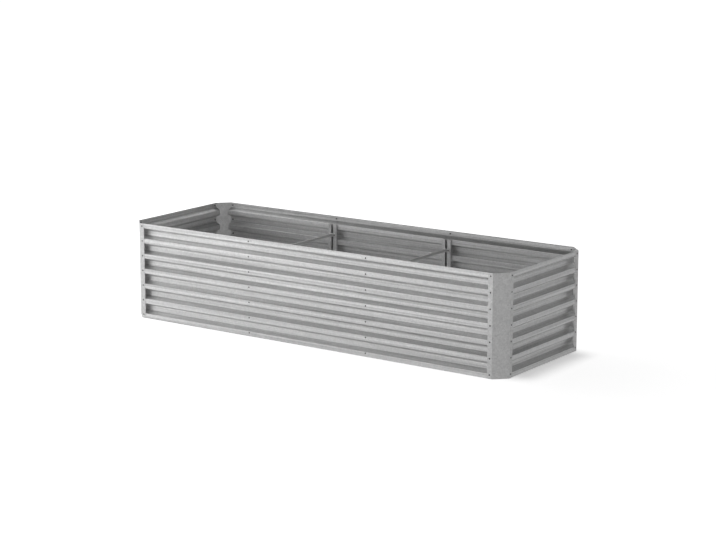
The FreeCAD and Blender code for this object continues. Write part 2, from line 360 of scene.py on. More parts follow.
@once
def bent_sheet():
    """Group: a surface that follows a section with rounded bends, carried along a straight run.

    Its faces look to the right of the section where the run is the upward direction reversed.
    """
    wiring, given, filled = new_group("Bent Sheet", "GeometryNodeTree", {
        "Section": "Geometry", "Bend Radius": 0.003, "Bend Steps": 5,
        "Run": (0, 0, -1), "Run Steps": 1,
    }, {"Sheet": "Geometry"})
    corners = wiring.add("GeometryNodeMeshToCurve", {"Mesh": given["Section"]})
    rounded = wiring.add("GeometryNodeFilletCurve", {
        "Curve": corners, "Count": given["Bend Steps"], "Radius": given["Bend Radius"]}, mode="POLY")
    outline = wiring.add("GeometryNodeCurveToMesh", {"Curve": rounded})
    size = wiring.add("GeometryNodeAttributeDomainSize", {"Geometry": outline}, component="MESH")
    rows = size.outputs["Point Count"]
    columns = wiring.math("ADD", given["Run Steps"], 1)
    grid = wiring.add("GeometryNodeMeshGrid", {"Vertices X": columns, "Vertices Y": rows})
    index = wiring.add("GeometryNodeInputIndex")
    row = wiring.math("MODULO", index, rows)
    column = wiring.math("FLOOR", wiring.math("DIVIDE", index, rows))
    here = wiring.add("GeometryNodeInputPosition")
    point = wiring.add("GeometryNodeSampleIndex", {
        "Geometry": outline, "Value": here, "Index": row}, data_type="FLOAT_VECTOR")
    travel = wiring.scaled(given["Run"], wiring.math("DIVIDE", column, given["Run Steps"]))
    place = wiring.shifted(point, travel)
    sheet = wiring.add("GeometryNodeSetPosition", {"Geometry": grid, "Position": place})
    wiring.feed(filled["Sheet"], sheet)
    return wiring.tree


@once
def corrugated_panel():
    """Tree: a corrugated panel in its wall's frame, with the slow waves of thin sheet."""
    wiring, given, filled = new_group("Corrugated Panel", "GeometryNodeTree", {
        "Start": 0.0, "End": 1.0, "Height": 0.6, "Face Depth": 0.0,
        "Recess Depth": 0.03, "Recess Count": 6, "Ridge Flat": 0.03, "Slope Height": 0.018,
        "Bend Radius": 0.004, "Bend Steps": 5, "Run Steps": 30,
        "Wave Height": 0.0004, "Wave Length": 0.2, "Wave Seed": 0.0,
        "Inner Column": 0.4, "Outer Column": 1.2, "Material": "Material",
    }, {"Panel": "Geometry"})

    # section from the ground up: a ridge, a slope in, a recess, a slope out, over and over
    slope = given["Slope Height"]
    depth = given["Recess Depth"]
    pitch = wiring.math("DIVIDE", wiring.math("SUBTRACT", given["Height"], given["Ridge Flat"]),
                        given["Recess Count"])
    recess = wiring.math("SUBTRACT", wiring.math("SUBTRACT", pitch, given["Ridge Flat"]),
                         wiring.math("MULTIPLY", slope, 2))
    corner_count = wiring.math("MULTIPLY_ADD", given["Recess Count"], 4, 2)
    line = wiring.add("GeometryNodeMeshLine", {"Count": corner_count})
    index = wiring.math("SUBTRACT", wiring.add("GeometryNodeInputIndex").outputs[0], 1)
    corner = wiring.math("FLOORED_MODULO", index, 4)
    corrugation = wiring.math("FLOOR", wiring.math("DIVIDE", index, 4))
    slope_and_recess = wiring.math("ADD", slope, recess)
    rise = wiring.chosen(corner, [0.0, slope, slope_and_recess,
                                  wiring.math("ADD", slope_and_recess, slope)])
    inward = wiring.chosen(corner, [0.0, depth, depth, 0.0])
    ridge_top = wiring.math("MULTIPLY_ADD", corrugation, pitch, given["Ridge Flat"])
    section = wiring.add("GeometryNodeSetPosition", {
        "Geometry": line,
        "Position": wiring.vector(given["Start"], wiring.math("ADD", given["Face Depth"], inward),
                                  wiring.math("ADD", ridge_top, rise))})
    run = wiring.vector(wiring.math("SUBTRACT", given["End"], given["Start"]))
    sheet = wiring.bent(given, section, run)

    # waves, held still around the columns of bolts and the same for both panels of a lap
    held = 0.02
    fade = 0.08
    x, y, z = wiring.parts(wiring.add("GeometryNodeInputPosition"))
    along = wiring.math("ABSOLUTE", x)
    inner = wiring.math("ABSOLUTE", wiring.math("SUBTRACT", along, given["Inner Column"]))
    outer = wiring.math("ABSOLUTE", wiring.math("SUBTRACT", along, given["Outer Column"]))
    free = wiring.ranged(wiring.math("MINIMUM", inner, outer), held, held + fade)
    waves = wiring.noise(wiring.vector(x, given["Wave Seed"], z), given["Wave Length"], detail=1.0)
    swing = wiring.math("MULTIPLY_ADD", waves, 2.0, -1.0)
    height = wiring.math("MULTIPLY", wiring.math("MULTIPLY", swing, free), given["Wave Height"])
    waved = wiring.add("GeometryNodeSetPosition", {"Geometry": sheet, "Offset": wiring.vector(y=height)})
    wiring.feed(filled["Panel"], wiring.real(waved, given["Material"]))
    return wiring.tree


@once
def folded_post():
    """Tree: a post folded to the section that its object holds, from its top down."""
    wiring, given, filled = new_group("Folded Post", "GeometryNodeTree", {
        "Section": "Geometry", "Length": 0.6, "Bend Radius": 0.003, "Bend Steps": 8,
        "Run Steps": 1, "Material": "Material",
    }, {"Post": "Geometry"})
    run = wiring.vector(z=wiring.math("MULTIPLY", given["Length"], -1.0))
    sheet = wiring.bent(given, given["Section"], run)
    wiring.feed(filled["Post"], wiring.real(sheet, given["Material"]))
    return wiring.tree


@once
def set_fasteners():
    """Tree: fasteners on points that carry the way each one faces and how far its shank reaches."""
    wiring, given, filled = new_group("Set Fasteners", "GeometryNodeTree", {
        "Points": "Geometry", "Head": "Object", "Shank": "Object", "Tip": "Object",
        "Spin Seed": 0, "Material": "Material",
    }, {"Fasteners": "Geometry"})
    facing = wiring.add("GeometryNodeInputNamedAttribute", {"Name": "facing"}, data_type="FLOAT_VECTOR")
    reach = wiring.add("GeometryNodeInputNamedAttribute", {"Name": "reach"}, data_type="FLOAT")
    chance = wiring.add("FunctionNodeRandomValue", {"Seed": given["Spin Seed"]}, data_type="FLOAT")
    spin = wiring.math("MULTIPLY", chance, math.tau)
    aimed = wiring.add("FunctionNodeAlignRotationToVector", {"Vector": facing}, axis="Z")
    spun = wiring.add("FunctionNodeAxisAngleToRotation", {"Axis": (0, 0, 1), "Angle": spin})
    turned = wiring.add("FunctionNodeRotateRotation", {"Rotation": aimed, "Rotate By": spun},
                        rotation_space="LOCAL")
    back = wiring.scaled(facing, wiring.math("MULTIPLY", reach, -1.0))
    tip_points = wiring.add("GeometryNodeSetPosition", {"Geometry": given["Points"], "Offset": back})
    whole = (1, 1, 1)
    joined = wiring.add("GeometryNodeJoinGeometry")
    for part, points, scale in (("Head", given["Points"], whole), ("Tip", tip_points, whole),
                                ("Shank", given["Points"], wiring.vector(1.0, 1.0, reach))):
        shape = wiring.add("GeometryNodeObjectInfo", {"Object": given[part]})
        copies = wiring.add("GeometryNodeInstanceOnPoints", {
            "Points": points, "Instance": shape.outputs["Geometry"], "Rotation": turned, "Scale": scale})
        wiring.feed(joined.inputs[0], copies)
    wiring.feed(filled["Fasteners"], wiring.real(joined, given["Material"]))
    return wiring.tree


# ---------------------------------------------------------------- effects that the finishes share

@once
def zinc_crystals():
    """Group: the large flat crystals of a hot-dipped zinc skin, with a fine grain over them."""
    fraying = 0.7
    wiring, given, filled = new_group("Zinc Crystals", "ShaderNodeTree", {
        "Vector": "Vector", "Crystal Size": 0.009, "Crystal Contrast": 0.1,
        "Grain Size": 0.0015, "Grain Contrast": 0.1,
    }, {"Tone": "Float", "Gloss": "Float", "Height": "Float"})
    vector = given["Vector"]
    bend = wiring.noise(vector, given["Crystal Size"], detail=2.0)
    shift = wiring.scaled(bend.outputs["Color"], wiring.math("MULTIPLY", given["Crystal Size"], fraying))
    density = wiring.math("DIVIDE", 1.0, given["Crystal Size"])
    crystals = wiring.add("ShaderNodeTexVoronoi", {
        "Vector": wiring.shifted(vector, shift), "Scale": density})
    shade, gloss, tilt = wiring.parts(crystals.outputs["Color"])
    grain = wiring.noise(vector, given["Grain Size"], detail=3.0, roughness=0.7)
    crystal_tone = wiring.math("MULTIPLY", wiring.math("SUBTRACT", shade, 0.5), given["Crystal Contrast"])
    grain_tone = wiring.math("MULTIPLY", wiring.math("SUBTRACT", grain, 0.5), given["Grain Contrast"])
    tone = wiring.math("ADD", wiring.math("ADD", crystal_tone, grain_tone), 1.0)
    wiring.feed(filled["Tone"], tone)
    wiring.feed(filled["Gloss"], gloss)
    wiring.feed(filled["Height"], wiring.math("MULTIPLY_ADD", tilt, 0.5, grain))
    return wiring.tree


@once
def rolling_streaks():
    """Group: level streaks, left by the mill along the sheet."""
    wiring, given, filled = new_group("Rolling Streaks", "ShaderNodeTree", {
        "Vector": "Vector", "Streak Length": 0.3, "Streak Height": 0.004, "Contrast": 0.1,
    }, {"Tone": "Float"})
    long_way = wiring.math("DIVIDE", 1.0, given["Streak Length"])
    short_way = wiring.math("DIVIDE", 1.0, given["Streak Height"])
    stretched = wiring.add("ShaderNodeVectorMath", {
        0: given["Vector"], 1: wiring.vector(long_way, long_way, short_way)}, operation="MULTIPLY")
    noise = wiring.noise(stretched, 1.0, detail=4.0, roughness=0.6)
    tone = wiring.math("MULTIPLY_ADD", wiring.math("SUBTRACT", noise, 0.5), given["Contrast"], 1.0)
    wiring.feed(filled["Tone"], tone)
    return wiring.tree


@once
def slow_clouds():
    """Group: soft patches of lighter and darker zinc."""
    wiring, given, filled = new_group("Slow Clouds", "ShaderNodeTree", {
        "Vector": "Vector", "Cloud Size": 0.15, "Contrast": 0.06,
    }, {"Tone": "Float"})
    noise = wiring.noise(given["Vector"], given["Cloud Size"], detail=2.0)
    tone = wiring.math("MULTIPLY_ADD", wiring.math("SUBTRACT", noise, 0.5), given["Contrast"], 1.0)
    wiring.feed(filled["Tone"], tone)
    return wiring.tree


@once
def edge_wear_and_highlight():
    """Group: a mask of the outer edges, where the metal is brightened for handling wear and as a painted
    highlight.
    """
    wiring, given, filled = new_group("Edge Wear", "ShaderNodeTree", {
        "Vector": "Vector", "Radius": 0.0008, "Breakup Size": 0.004,
    }, {"Mask": "Float"})
    flat = 0.99
    sharp = 0.80
    soft = wiring.add("ShaderNodeBevel", {"Radius": given["Radius"]}, samples=4)
    true = wiring.add("ShaderNodeNewGeometry")
    likeness = wiring.add("ShaderNodeVectorMath", {0: soft, 1: true.outputs["Normal"]},
                          operation="DOT_PRODUCT")
    edge = wiring.ranged(likeness.outputs["Value"], flat, sharp, easing="LINEAR")
    breakup = wiring.noise(given["Vector"], given["Breakup Size"], detail=2.0)
    wiring.feed(filled["Mask"], wiring.math("MULTIPLY", edge, breakup))
    return wiring.tree


# ---------------------------------------------------------------- finishes

bump_height = 0.1 * millimetre


def empty_wiring(owner):
    """Wiring of a material's or a world's own tree, emptied first."""
    owner.use_nodes = True
    owner.node_tree.nodes.clear()
    return Wiring(owner.node_tree)


def zinc_finish(name, colour, metallic, look):
    """Material: dull zinc with crystals, mill streaks, slow clouds, and edges brightened for wear and as
    a painted highlight.
    """
    material = bpy.data.materials.new(name)
    wiring = empty_wiring(material)
    place = wiring.add("ShaderNodeTexCoord").outputs["Object"]
    crystals, streaks, clouds, wear_and_highlight = [
        wiring.add("ShaderNodeGroup", {"Vector": place, **look[effect]}, node_tree=group())
        for effect, group in (("crystals", zinc_crystals), ("streaks", rolling_streaks),
                              ("clouds", slow_clouds), ("wear_and_highlight", edge_wear_and_highlight))]
    tone = wiring.math("MULTIPLY", wiring.math("MULTIPLY", crystals.outputs["Tone"], streaks), clouds)
    skin = wiring.scaled(tuple(colour), tone)
    # paler edges: partly wear, partly a painted highlight
    worn_and_highlighted = wiring.add("ShaderNodeMix", {"Factor": wear_and_highlight, 6: skin, 7: (*look["wear_and_highlight_colour"], 1)},
                      data_type="RGBA")
    roughness = wiring.ranged(crystals.outputs["Gloss"], 0.0, 1.0, *look["roughness"], easing="LINEAR")
    bump = wiring.add("ShaderNodeBump", {
        "Height": crystals.outputs["Height"], "Strength": look["bump"], "Distance": bump_height})
    surface = wiring.add("ShaderNodeBsdfPrincipled", {
        "Base Color": worn_and_highlighted.outputs[2], "Metallic": metallic, "Roughness": roughness, "Normal": bump})
    wiring.add("ShaderNodeOutputMaterial", {"Surface": surface})
    return material


sheet_look = {
    "crystals": {"Crystal Contrast": 0.10, "Grain Contrast": 0.08, "Grain Size": 1.6 * millimetre},
    "streaks": {"Contrast": 1.15, "Streak Length": 1.6, "Streak Height": 13 * millimetre},
    "clouds": {"Contrast": 0.10, "Cloud Size": 0.05},
    "wear_and_highlight": {"Radius": 0.5 * millimetre, "Breakup Size": 5 * millimetre},
    # paler edges: partly wear, partly a painted highlight
    "wear_and_highlight_colour": (0.8, 0.8, 0.8),
    "roughness": (0.36, 0.54),
    "bump": 0.35,
    "metal_share": 1.0,
}

post_look = {
    **sheet_look,
    "crystals": {"Crystal Contrast": 0.16, "Grain Contrast": 0.12, "Grain Size": 2.0 * millimetre},
    "streaks": {"Contrast": 0.10, "Streak Length": 0.2, "Streak Height": 8 * millimetre},
    "clouds": {"Contrast": 0.20, "Cloud Size": 0.028},
}

tube_look = {
    "crystals": {"Crystal Contrast": 0.05, "Grain Contrast": 0.12, "Grain Size": 1.0 * millimetre,
                 "Crystal Size": 5 * millimetre},
    "streaks": {"Contrast": 0.05, "Streak Length": 0.2, "Streak Height": 3 * millimetre},
    "clouds": {"Contrast": 0.10, "Cloud Size": 0.08},
    "wear_and_highlight": {"Radius": 0.5 * millimetre, "Breakup Size": 3 * millimetre},
    # paler edges: partly wear, partly a painted highlight
    "wear_and_highlight_colour": (0.85, 0.85, 0.85),
    "roughness": (0.30, 0.42),
    "bump": 0.25,
    "metal_share": 0.15,
}

fastener_look = {
    "crystals": {"Crystal Contrast": 0.15, "Grain Contrast": 0.25, "Grain Size": 0.5 * millimetre,
                 "Crystal Size": 2 * millimetre},
    "streaks": {"Contrast": 0.0},
    "clouds": {"Contrast": 0.25, "Cloud Size": 10 * millimetre},
    "wear_and_highlight": {"Radius": 0.3 * millimetre, "Breakup Size": 1.5 * millimetre},
    # paler edges: partly wear, partly a painted highlight
    "wear_and_highlight_colour": (0.3, 0.3, 0.3),
    "roughness": (0.32, 0.48),
    "bump": 0.3,
    "metal_share": 1.0,
}


def finish(slot):
    """The material of one slot of the record, made at its first use."""
    settings = bpy.context.scene.garden_bed_finish
    finishes = {
        "panel_sheet": (settings.sheet_colour, sheet_look),
        "corner_sheet": (settings.corner_colour, post_look),
        "post_sheet": (settings.channel_colour, post_look),
        "brace_tube": (settings.brace_colour, tube_look),
        "bolt_steel": (settings.bolt_colour, fastener_look),
        "nut_steel": (settings.nut_colour, fastener_look),
    }
    name = f"finished_{slot}"
    if name in bpy.data.materials:
        return bpy.data.materials[name]
    colour, look = finishes[slot]
    size = {"Crystal Size": settings.crystal_size}
    look = {**look, "crystals": {**size, **look["crystals"]}}
    return zinc_finish(name, colour, settings.metallic * look["metal_share"], look)


# ---------------------------------------------------------------- from a tree to a finished piece

def new_object(name, mesh):
    """An object in the scene, at the origin."""
    made = bpy.data.objects.new(name, mesh)
    bpy.context.scene.collection.objects.link(made)
    return made


def add_tree(maker, tree, values):
    """Put a Geometry Nodes tree on an object, with its inputs set by identifier."""
    modifier = maker.modifiers.new(tree.name, "NODES")
    modifier.node_group = tree
    for item in tree.interface.items_tree:
        if item.in_out == "INPUT" and item.name in values:
            modifier[item.identifier] = values[item.name]


def add_thickness(maker, thickness):
    """Give a sheet its thickness, behind its outer face."""
    solidify = maker.modifiers.new("Thickness", "SOLIDIFY")
    solidify.thickness = thickness
    solidify.offset = -1
    solidify.use_even_offset = True


def made_plain(maker, place):
    """Turn an object's modifiers into a plain mesh, and put the mesh in its place."""
    graph = bpy.context.evaluated_depsgraph_get()
    mesh = bpy.data.meshes.new_from_object(maker.evaluated_get(graph), depsgraph=graph)
    maker.modifiers.clear()
    maker.data = mesh
    mesh.transform(place)
    # a tree leaves an empty material slot before its own
    if len(mesh.materials) > 1 and mesh.materials[0] is None:
        mesh.materials.pop(index=0)
    for face in mesh.polygons:
        face.material_index = 0


smooth_below = math.radians(35)


def declare(piece, node):
    """Smooth a finished piece, and let it stand for its construction node."""
    piece.data.shade_smooth()
    piece.data.set_sharp_from_angle(angle=smooth_below)
    weighted = piece.modifiers.new("Flat Faces", "WEIGHTED_NORMAL")
    weighted.keep_sharp = True
    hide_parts(node)
    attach(piece, "root")


def turned_mesh(name, rings, segments, closed=False):
    """Mesh turned about Z from rings of (radius, height), or (radius, height, width of a hexagon)."""
    points = []
    for radius, height, *widths in rings:
        for step in range(segments):
            angle = math.tau * step / segments
            from_flat = (angle + math.pi / 6) % (math.pi / 3) - math.pi / 6
            reach = min([radius] + [width / 2 / math.cos(from_flat) for width in widths])
            points.append((reach * math.cos(angle), reach * math.sin(angle), height))
    faces = []
    ring_pairs = list(zip(range(len(rings)), range(1, len(rings))))
    if closed:
        ring_pairs.append((len(rings) - 1, 0))
    else:
        faces.append(range(segments))
        faces.append(range((len(rings) - 1) * segments, len(rings) * segments))
    for ring, next_ring in ring_pairs:
        for step in range(segments):
            after = (step + 1) % segments
            faces.append((ring * segments + step, ring * segments + after,
                          next_ring * segments + after, next_ring * segments + step))

    mesh = bpy.data.meshes.new(name)
    mesh.from_pydata(points, [], faces)
    face_outwards(mesh)
    return mesh


def merged(mesh):
    """A mesh opened for editing, with its doubles merged."""
    shape = bmesh.new()
    shape.from_mesh(mesh)
    bmesh.ops.remove_doubles(shape, verts=shape.verts, dist=0.001 * millimetre)
    return shape


def face_outwards(mesh):
    """Merge a closed mesh's doubles and turn all its faces outwards."""
    shape = merged(mesh)
    bmesh.ops.recalc_face_normals(shape, faces=shape.faces)
    shape.to_mesh(mesh)
    shape.free()


def joined_mesh(name, placed_meshes):
    """One mesh from several, each with the matrix that puts it in its place."""
    shape = bmesh.new()
    for mesh, place in placed_meshes:
        mesh.transform(place)
        shape.from_mesh(mesh)
    joined = bpy.data.meshes.new(name)
    shape.to_mesh(joined)
    shape.free()
    return joined


# ---------------------------------------------------------------- corrugated panels

def flange_column(wall):
    """Distance of a wall's outermost bolts from its middle."""
    posts = bpy.context.scene.garden_bed_posts
    low, high = box_in(corner_place("front_right"), "front_right_corner_post")
    post_reach = high.y - low.y
    wall_half = half_length if wall in ("front", "back") else half_width
    return wall_half - (post_reach + posts.corner_setback) / 2


def joint_column():
    """Distance of the joint bolts from the middle of a long wall."""
    low, high = box_in(wall_place("front"), "front_right_joint_bolts")
    return (low.x + high.x) / 2


class GARDENBED_OT_panels(bpy.types.Operator):
    """Make the eight corrugated panels"""
    bl_idname = "gardenbed.panels"
    bl_label = "Corrugated Panels"

    def execute(self, context):
        sheets = context.scene.garden_bed_sheets
        for node in nodes_ending("_panel"):
            wall = node.split("_")[0]
            place = wall_place(wall)
            low, high = box_in(place, node)
            outer = flange_column(wall)
            inner = joint_column() if wall in ("front", "back") else outer
            panel = new_object(f"finished_{node}", bpy.data.meshes.new(node))
            add_tree(panel, corrugated_panel(), {
                "Start": low.x, "End": high.x, "Height": high.z - low.z, "Face Depth": low.y,
                "Recess Depth": high.y - low.y - sheets.thickness, "Recess Count": sheets.recess_count,
                "Ridge Flat": sheets.ridge_flat, "Slope Height": sheets.slope_height,
                "Bend Radius": sheets.bend, "Bend Steps": sheets.bend_steps,
                "Run Steps": math.ceil((high.x - low.x) / sheets.step_length),
                "Wave Height": sheets.wave_height, "Wave Length": sheets.wave_length,
                "Wave Seed": float(sheets.wave_seed + walls[wall][0]),
                "Inner Column": inner, "Outer Column": outer, "Material": finish("panel_sheet"),
            })
            add_thickness(panel, sheets.thickness)
            made_plain(panel, place)
            declare(panel, node)
        return {"FINISHED"}


# ---------------------------------------------------------------- posts

def fold(node, place, path, thickness, slot):
    """A post folded to a path of (x, y) points, in the frame that a matrix leads out of."""
    posts = bpy.context.scene.garden_bed_posts
    low, high = box_in(place, node)
    section = bpy.data.meshes.new(node)
    edges = [(index, index + 1) for index in range(len(path) - 1)]
    section.from_pydata([(x, y, high.z) for x, y in path], edges, [])
    post = new_object(f"finished_{node}", section)
    add_tree(post, folded_post(), {
        "Length": high.z - low.z, "Bend Radius": posts.bend, "Bend Steps": posts.bend_steps,
        "Run Steps": posts.run_steps, "Material": finish(slot),
    })
    add_thickness(post, thickness)
    made_plain(post, place)
    declare(post, node)


class GARDENBED_OT_corner_posts(bpy.types.Operator):
    """Make the four chamfered corner posts"""
    bl_idname = "gardenbed.corner_posts"
    bl_label = "Corner Posts"

    def execute(self, context):
        posts = context.scene.garden_bed_posts
        for corner in corners:
            node = f"{corner}_corner_post"
            place = corner_place(corner)
            low, high = box_in(place, node)
            setback = posts.corner_setback
            path = [(low.x, 0), (-setback, 0), (0, setback), (0, high.y)]
            fold(node, place, path, posts.corner_thickness, "corner_sheet")
        return {"FINISHED"}


class GARDENBED_OT_joint_posts(bpy.types.Operator):
    """Make the four lipped channels inside the panel joints"""
    bl_idname = "gardenbed.joint_posts"
    bl_label = "Joint Posts"

    def execute(self, context):
        posts = context.scene.garden_bed_posts
        for node in nodes_ending("_joint_post"):
            place = wall_place(node.split("_")[0])
            low, high = box_in(place, node)
            middle = (low.x + high.x) / 2
            lip = posts.channel_slot / 2
            path = [(middle - lip, high.y), (low.x, high.y), (low.x, low.y),
                    (high.x, low.y), (high.x, high.y), (middle + lip, high.y)]
            fold(node, place, path, posts.channel_thickness, "post_sheet")
        return {"FINISHED"}


# ---------------------------------------------------------------- braces

def end_plate(width, height, thickness, corner, edge, bore):
    """Mesh of a plate with rounded corners, softened edges and a round hole, from Z = 0 up."""
    corner_steps = 6
    hole_steps = 36
    outline = bpy.data.curves.new("end_plate", "CURVE")
    outline.dimensions = "2D"
    outline.fill_mode = "BOTH"
    outline.extrude = thickness / 2 - edge
    outline.bevel_depth = edge
    outline.bevel_resolution = 1
    outline.offset = -edge
    rim = []
    for quarter, (side_x, side_y) in enumerate(((1, 1), (-1, 1), (-1, -1), (1, -1))):
        for step in range(corner_steps + 1):
            angle = math.pi / 2 * (quarter + step / corner_steps)
            rim.append((side_x * (width / 2 - corner) + corner * math.cos(angle),
                        side_y * (height / 2 - corner) + corner * math.sin(angle)))
    turns = [math.tau * step / hole_steps for step in range(hole_steps)]
    hole = [(bore * math.cos(angle), bore * math.sin(angle)) for angle in turns]
    for loop in (rim, hole):
        spline = outline.splines.new("POLY")
        spline.points.add(len(loop) - 1)
        for point, (x, y) in zip(spline.points, loop):
            point.co = (x, y, 0, 1)
        spline.use_cyclic_u = True
    maker = new_object("end_plate", outline)
    graph = bpy.context.evaluated_depsgraph_get()
    mesh = bpy.data.meshes.new_from_object(maker.evaluated_get(graph), depsgraph=graph)
    bpy.data.objects.remove(maker)
    face_outwards(mesh)
    mesh.transform(Matrix.Translation((0, 0, thickness / 2)))
    return mesh


def weld_bead(radius, leg, ripples):
    """Mesh of a rippled bead around a tube, on the plane Z = 0."""
    arc_steps = 5
    steps_each = 6
    hollow = 0.22
    ripple_depth = 0.14
    buried = 0.3 * millimetre
    rings = [(radius - buried, -buried)]
    for step in range(arc_steps + 1):
        angle = math.pi / 2 * step / arc_steps
        bulge = leg * (1 - hollow * math.sin(2 * angle))
        rings.append((radius + bulge * math.cos(angle), bulge * math.sin(angle)))
    mesh = turned_mesh("weld_bead", rings, ripples * steps_each, closed=True)
    for vertex in mesh.vertices:
        reach = math.hypot(vertex.co.x, vertex.co.y)
        if reach > radius and vertex.co.z > 0:
            wave = abs(math.sin(math.atan2(vertex.co.y, vertex.co.x) * ripples / 2))
            kept = 1 - ripple_depth * (1 - wave)
            out = (reach - radius) * kept + radius
            vertex.co.x *= out / reach
            vertex.co.y *= out / reach
            vertex.co.z *= kept
    return mesh


class GARDENBED_OT_braces(bpy.types.Operator):
    """Make the two tube braces with their welded end plates"""
    bl_idname = "gardenbed.braces"
    bl_label = "Cross Braces"

    def execute(self, context):
        braces = context.scene.garden_bed_braces
        radius = braces.diameter / 2
        bore = radius - braces.wall
        sunk = 0.5 * millimetre
        tube_steps = 48
        along_y = Matrix.Rotation(math.radians(-90), 4, "X")
        for node in nodes_ending("_cross_brace"):
            low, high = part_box(node)
            middle = (low + high) / 2
            reach = high.y - middle.y
            rings = [(radius, -reach + sunk), (radius, reach - sunk),
                     (bore, reach - sunk), (bore, -reach + sunk)]
            tube = turned_mesh("tube", rings, tube_steps, closed=True)
            placed = [(tube, Matrix.Translation(middle) @ along_y)]
            for turn in (0, 180):
                end = (Matrix.Translation(middle) @ Matrix.Rotation(math.radians(turn), 4, "Z")
                       @ Matrix.Translation((0, -reach, 0)) @ along_y)
                plate = end_plate(high.x - low.x, high.z - low.z, braces.plate_thickness,
                                  braces.plate_corner, braces.plate_edge, bore)
                placed.append((plate, end))
                bead = weld_bead(radius, braces.weld, braces.weld_ripples)
                placed.append((bead, end @ Matrix.Translation((0, 0, braces.plate_thickness))))
            brace = new_object(f"finished_{node}", joined_mesh(node, placed))
            brace.data.materials.append(finish("brace_tube"))
            declare(brace, node)
        return {"FINISHED"}


# ---------------------------------------------------------------- fasteners

fastener_steps = 12


def solid_boxes(node):
    """Lowest and highest corner of each separate solid in a construction node."""
    shape = merged(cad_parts[node].data)
    left = set(shape.verts)
    boxes = []
    while left:
        reached = [left.pop()]
        for vertex in reached:
            near = {edge.other_vert(vertex) for edge in vertex.link_edges} & left
            left -= near
            reached.extend(near)
        axes = list(zip(*(vertex.co for vertex in reached)))
        boxes.append((Vector([min(axis) for axis in axes]), Vector([max(axis) for axis in axes])))
    shape.free()
    return sorted(boxes, key=lambda box: tuple(round(value, 4) for value in box[0]))


def outward(point):
    """Way out of the bed through the wall that a point lies by."""
    to_end = half_length - abs(point.x)
    to_side = half_width - abs(point.y)
    if to_end < to_side:
        return Vector((math.copysign(1, point.x), 0, 0))
    return Vector((0, math.copysign(1, point.y), 0))


def head_mesh(sizes):
    """Button head with a hexagon socket, its seat on Z = 0."""
    round_steps = 18
    dome_steps = 5
    land = 0.25 * millimetre
    edge_height = 0.15 * millimetre
    half = sizes.head_diameter / 2
    height = sizes.head_height
    dome = (half ** 2 + height ** 2) / (2 * height)
    rim = sizes.socket_width / math.sqrt(3) + land
    first = math.asin(half / dome)
    last = math.asin(rim / dome)
    rings = [(half, 0)]
    for step in range(dome_steps + 1):
        angle = first + (last - first) * step / dome_steps
        edge = edge_height if step == 0 else 0
        rings.append((dome * math.sin(angle), dome * math.cos(angle) - (dome - height) + edge))
    top = rings[-1][1]
    rings.append((rim, top, sizes.socket_width))
    rings.append((rim, height - sizes.socket_depth, sizes.socket_width))
    return turned_mesh("bolt_head", rings, round_steps)


def shank_mesh(sizes):
    """Plain shank for a bolt of unit reach, from its seat down and into the threaded end."""
    share_of_reach = 0.9
    radius = sizes.bolt_diameter / 2 - sizes.thread_pitch * 0.3
    return turned_mesh("bolt_shank", [(radius, 0), (radius, -share_of_reach)], fastener_steps)


def tip_mesh(sizes):
    """Threaded end of a bolt, its last face on Z = 0."""
    ridges = 8
    first_ridge = 0.6
    pitch = sizes.thread_pitch
    outer = sizes.bolt_diameter / 2
    inner = outer - pitch / 2
    rings = [(inner, 0)]
    for ridge in range(ridges):
        height = pitch * (ridge + first_ridge)
        rings += [(outer, height), (inner, height + pitch / 2)]
    return turned_mesh("bolt_tip", rings, fastener_steps)


def nut_mesh(sizes, height):
    """Hexagon nut from its seat on Z = 0 down, with its lower corners turned off."""
    lead = 0.4 * millimetre
    chamfer_slope = 0.6
    width = sizes.nut_width
    corner = width / math.sqrt(3)
    bore = sizes.bolt_diameter / 2
    rings = [(bore, -lead), (bore + lead, 0), (corner, 0, width),
             (corner, -height + (corner - width / 2) * chamfer_slope, width),
             (width / 2, -height, width), (bore + lead, -height), (bore, -height + lead)]
    return turned_mesh("nut", rings, fastener_steps, closed=True)


def set_on_points(node, seats, parts, slot):
    """Set fasteners on seats of (place, facing, reach), and let them stand for their node."""
    seed = bpy.context.scene.garden_bed_fasteners.spin_seed
    places, facings, reaches = zip(*seats)
    points = bpy.data.meshes.new(node)
    points.from_pydata(places, [], [])
    facing = points.attributes.new("facing", "FLOAT_VECTOR", "POINT")
    facing.data.foreach_set("vector", [part for way in facings for part in way])
    reach = points.attributes.new("reach", "FLOAT", "POINT")
    reach.data.foreach_set("value", reaches)
    fasteners = new_object(f"finished_{node}", points)
    add_tree(fasteners, set_fasteners(), {**parts, "Spin Seed": seed, "Material": finish(slot)})
    made_plain(fasteners, Matrix())
    declare(fasteners, node)


